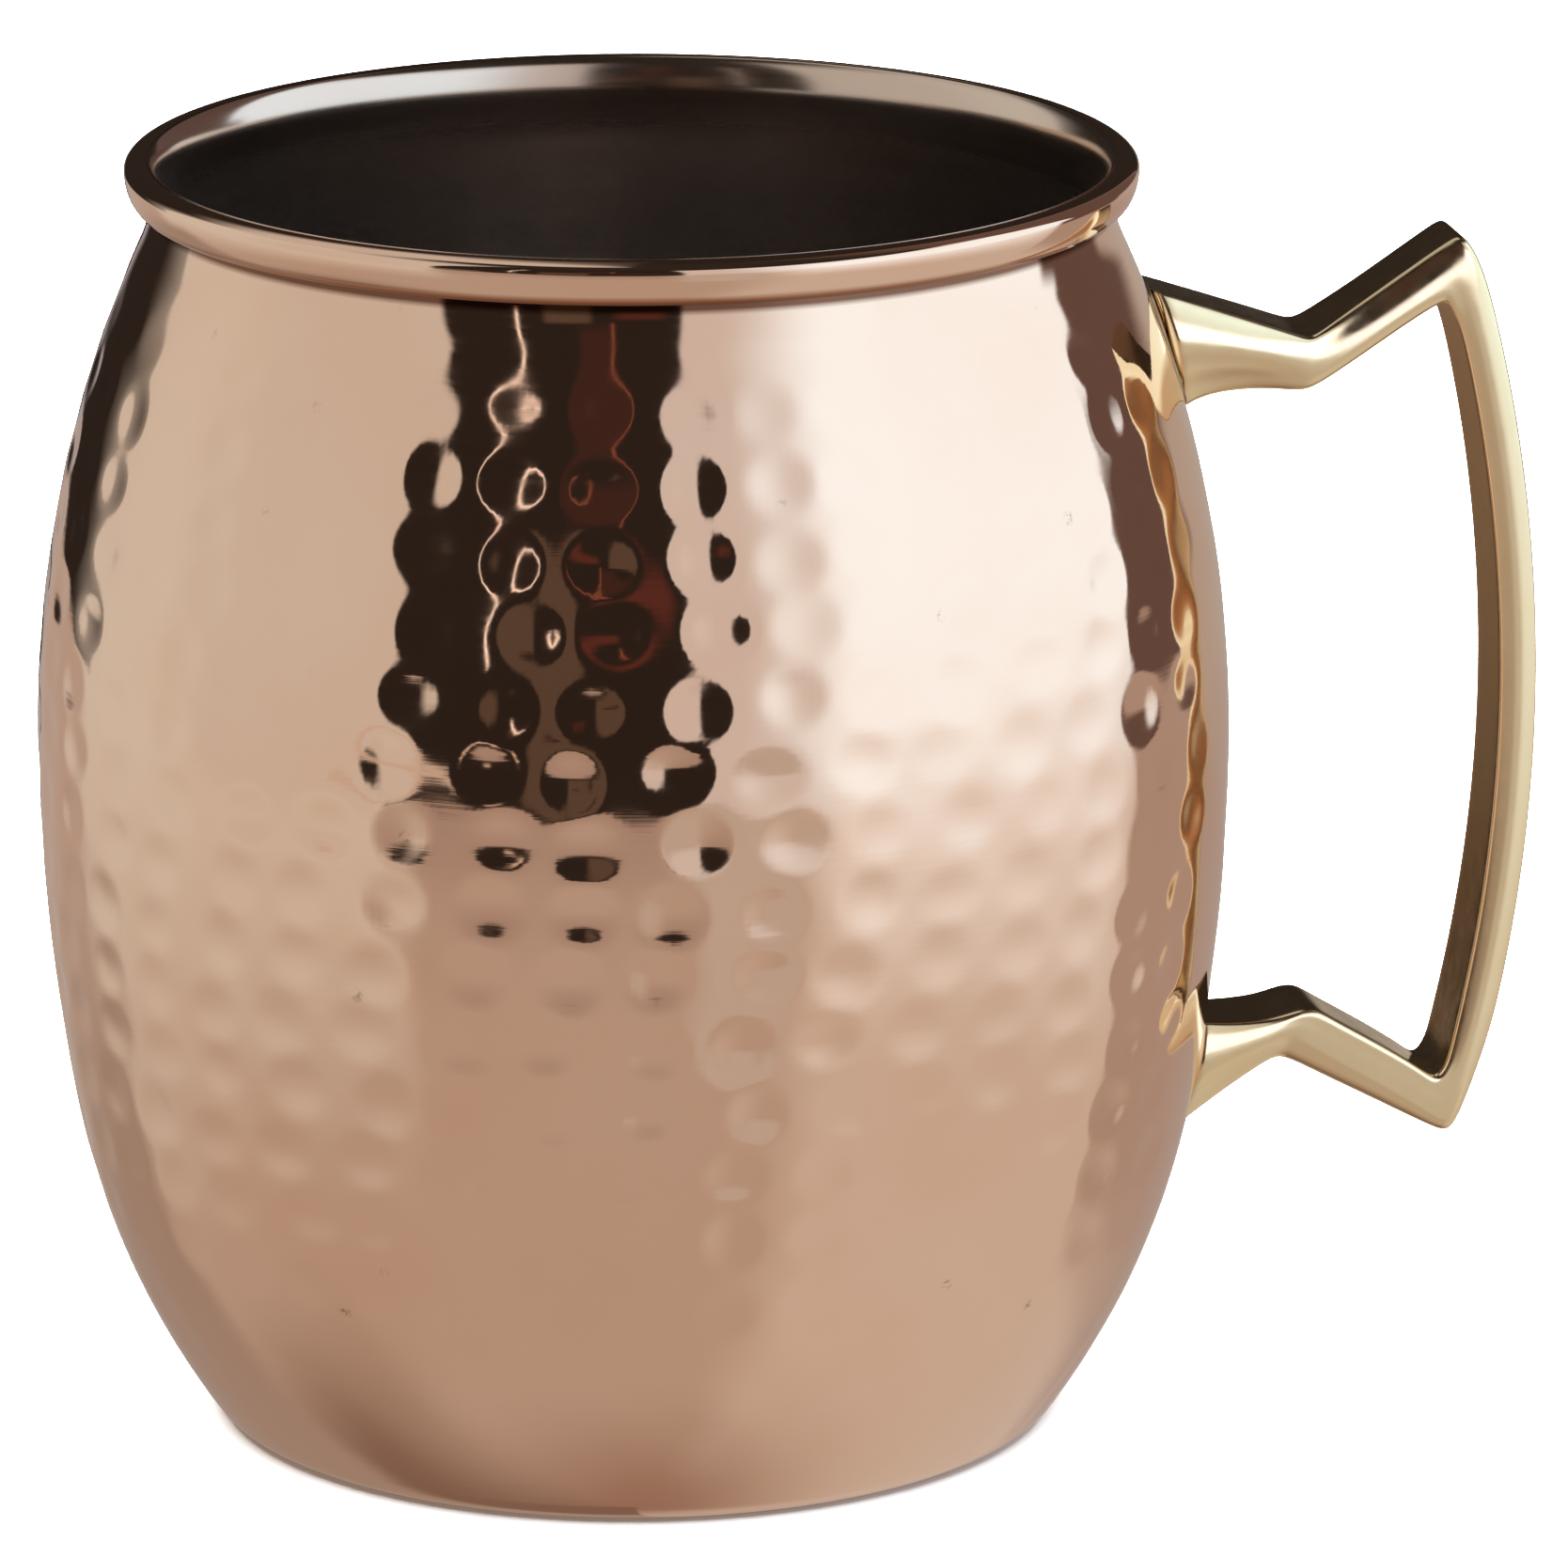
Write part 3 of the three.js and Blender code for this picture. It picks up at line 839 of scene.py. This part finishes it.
class NodeMaths:
    """Short forms for the maths nodes of the surroundings."""

    def __init__(self, tree):
        self.nodes = tree.nodes
        self.links = tree.links

    def put(self, value, socket):
        if isinstance(value, (int, float)):
            socket.default_value = value
        else:
            self.links.new(value, socket)

    def math(self, operation, first, second=0.0):
        node = self.nodes.new("ShaderNodeMath")
        node.operation = operation
        self.put(first, node.inputs[0])
        self.put(second, node.inputs[1])
        return node.outputs[0]

    def step(self, value, edge, soft):
        node = self.nodes.new("ShaderNodeMapRange")
        node.interpolation_type = "SMOOTHSTEP"
        self.put(value, node.inputs["Value"])
        node.inputs["From Min"].default_value = edge - soft
        node.inputs["From Max"].default_value = edge + soft
        return node.outputs["Result"]

    def band(self, value, low, high, soft):
        rising = self.step(value, low, soft)
        falling = self.math("SUBTRACT", 1.0, self.step(value, high, soft))
        return self.math("MULTIPLY", rising, falling)

    def laid_over(self, mask, colour, under):
        node = self.nodes.new("ShaderNodeMix")
        node.data_type = "RGBA"
        node.inputs["A"].default_value = (*colour, 1)
        node.inputs["B"].default_value = (*colour, 1)
        self.links.new(mask, node.inputs["Factor"])
        if under is not None:
            self.links.new(under, node.inputs["A"])
        return node.outputs["Result"]


def build_surroundings():
    """The world: white where the camera sees it, and the patches in every other ray."""
    world = bpy.data.worlds.new("studio")
    bpy.context.scene.world = world
    world.use_nodes = True
    tree = world.node_tree
    maths = NodeMaths(tree)
    direction = tree.nodes.new("ShaderNodeTexCoord").outputs["Generated"]
    turned = tree.nodes.new("ShaderNodeVectorRotate")
    turned.rotation_type = "Z_AXIS"
    turned.inputs["Angle"].default_value = VIEW_AZIMUTH
    tree.links.new(direction, turned.inputs["Vector"])
    split = tree.nodes.new("ShaderNodeSeparateXYZ")
    tree.links.new(turned.outputs["Vector"], split.inputs[0])
    towards = maths.math("MULTIPLY", split.outputs["Y"], -1.0)
    azimuth = maths.math("MULTIPLY", maths.math("ARCTAN2", split.outputs["X"], towards), 180 / math.pi)
    elevation = maths.math("MULTIPLY", maths.math("ARCSINE", split.outputs["Z"]), 180 / math.pi)
    glow = None
    for _, (left, right), side_soft, (low, high), end_soft, colour in PATCHES:
        sides = maths.band(azimuth, left, right, side_soft)
        ends = maths.band(elevation, low, high, end_soft)
        glow = maths.laid_over(maths.math("MULTIPLY", sides, ends), colour, glow)
    seen = tree.nodes.new("ShaderNodeLightPath").outputs["Is Camera Ray"]
    background = tree.nodes["Background"]
    white = tree.nodes.new("ShaderNodeBackground")
    white.inputs["Color"].default_value = (1, 1, 1, 1)
    chosen = tree.nodes.new("ShaderNodeMixShader")
    tree.links.new(glow, background.inputs["Color"])
    tree.links.new(seen, chosen.inputs["Fac"])
    tree.links.new(background.outputs[0], chosen.inputs[1])
    tree.links.new(white.outputs[0], chosen.inputs[2])
    tree.links.new(chosen.outputs[0], tree.nodes["World Output"].inputs["Surface"])


def build_card(name, corners, colour):
    # The card glows with its colour: painted shade of the table behind the mug, seen only in
    # reflections.
    made, _, _, shader = material(name)
    shader.inputs["Base Color"].default_value = (0, 0, 0, 1)
    shader.inputs["Specular IOR Level"].default_value = 0.0
    shader.inputs["Emission Color"].default_value = (*colour, 1)
    shader.inputs["Emission Strength"].default_value = 1.0
    card = flat_stage(name, corners, CARD_HEIGHT, made)
    card.visible_camera = False
    card.visible_diffuse = False
    card.visible_shadow = False
    card.visible_transmission = False


def area_lamp(name, shape, energy, place):
    """An area light that the camera doesn't see. Gives back its light and its object."""
    light = bpy.data.lights.new(name, "AREA")
    light.shape = shape
    light.energy = energy
    lamp = bpy.data.objects.new(name, light)
    lamp.location = place
    lamp.visible_camera = False
    bpy.context.scene.collection.objects.link(lamp)
    return light, lamp


def build_overhead_light():
    """A wide soft light that lights the floor and leaves the metal to its reflections."""
    light, lamp = area_lamp("overhead", "DISK", OVERHEAD_ENERGY, (0.0, 0.0, OVERHEAD_HEIGHT))
    light.size = OVERHEAD_SIZE
    lamp.visible_glossy = False


def build_side_light(handle):
    """A small light beside the camera that only the handle takes."""
    light, lamp = area_lamp("handle_side", "RECTANGLE", SIDE_ENERGY, SIDE_PLACE)
    light.size, light.size_y = SIDE_SIZE
    light.color = SIDE_COLOUR
    towards = Vector(SIDE_AIM) - lamp.location
    lamp.rotation_euler = towards.to_track_quat("-Z", "Y").to_euler()
    takers = bpy.data.collections.new("handle_side_takers")
    takers.objects.link(handle)
    lamp.light_linking.receiver_collection = takers


def build_camera():
    ahead = Vector((math.sin(VIEW_AZIMUTH), math.cos(VIEW_AZIMUTH), 0.0))
    right = Vector((math.cos(VIEW_AZIMUTH), -math.sin(VIEW_AZIMUTH), 0.0))
    look = ahead * math.cos(VIEW_ELEVATION) - Vector((0, 0, math.sin(VIEW_ELEVATION)))
    aim = right * AIM_RIGHT + Vector((0, 0, AIM_HEIGHT))
    data = bpy.data.cameras.new("camera")
    data.sensor_width = SENSOR
    data.lens = LENS
    data.clip_end = 50.0
    camera = bpy.data.objects.new("camera", data)
    camera.location = aim - look * VIEW_DISTANCE
    camera.rotation_euler = look.to_track_quat("-Z", "Y").to_euler()
    bpy.context.scene.collection.objects.link(camera)
    bpy.context.scene.camera = camera


build_camera()
mug_handle = build_pieces()
build_floor()
for card_name, card_corners, card_colour in CARDS:
    build_card(card_name, card_corners, card_colour)
build_surroundings()
build_overhead_light()
build_side_light(mug_handle)
bpy.context.scene.view_settings.view_transform = "Standard"

bpy.context.view_layer.update()
